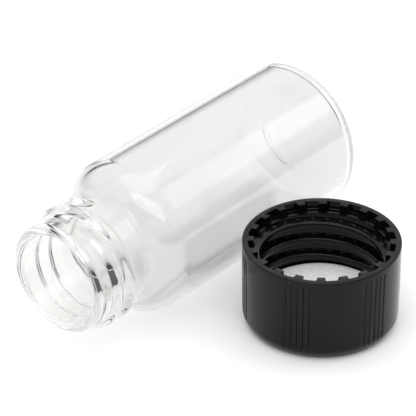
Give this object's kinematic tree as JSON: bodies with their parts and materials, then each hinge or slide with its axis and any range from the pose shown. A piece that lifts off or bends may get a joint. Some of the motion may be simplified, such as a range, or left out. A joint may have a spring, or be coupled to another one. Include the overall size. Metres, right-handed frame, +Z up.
{
  "type": "gold sample vial",
  "caption": "Clear glass screw-neck sample vial lying on its side, with its open black ribbed screw cap and two-ply liner standing beside it.",
  "frame": {"origin": "centre of the overall box in plan, on the surface that the vial and the cap rest on", "axes": "+Z up; X along the vial's axis, with its mouth towards -X and its base towards +X; the cap stands on the -Y side, open side up"},
  "size_m": [0.0636, 0.0546, 0.0275],
  "materials": {
    "clear_glass": "polished clear glass",
    "black_plastic": "semi-matt moulded",
    "liner_facing": "fine-grained matt sheet",
    "liner_backing": "pulp board"
  },
  "bodies": {
    "vial": {"glass_vial": "clear_glass"},
    "liner": {"liner_facing": "liner_facing", "liner_backing": "liner_backing"},
    "cap": {"cap_shell": "black_plastic"}
  },
  "joints": [
    {"name": "cap_carry", "type": "hinge", "parent": "vial", "child": "liner", "pos_m": [-0.0202, -0.00652, 0.02915], "axis": [-0.495, -0.7141, -0.495], "range_deg": [0, 251.06]},
    {"name": "cap_turn", "type": "hinge", "parent": "liner", "child": "cap", "pos_m": [0.004, -0.0139, 0], "axis": [0, 0, 1], "continuous": true}
  ]
}
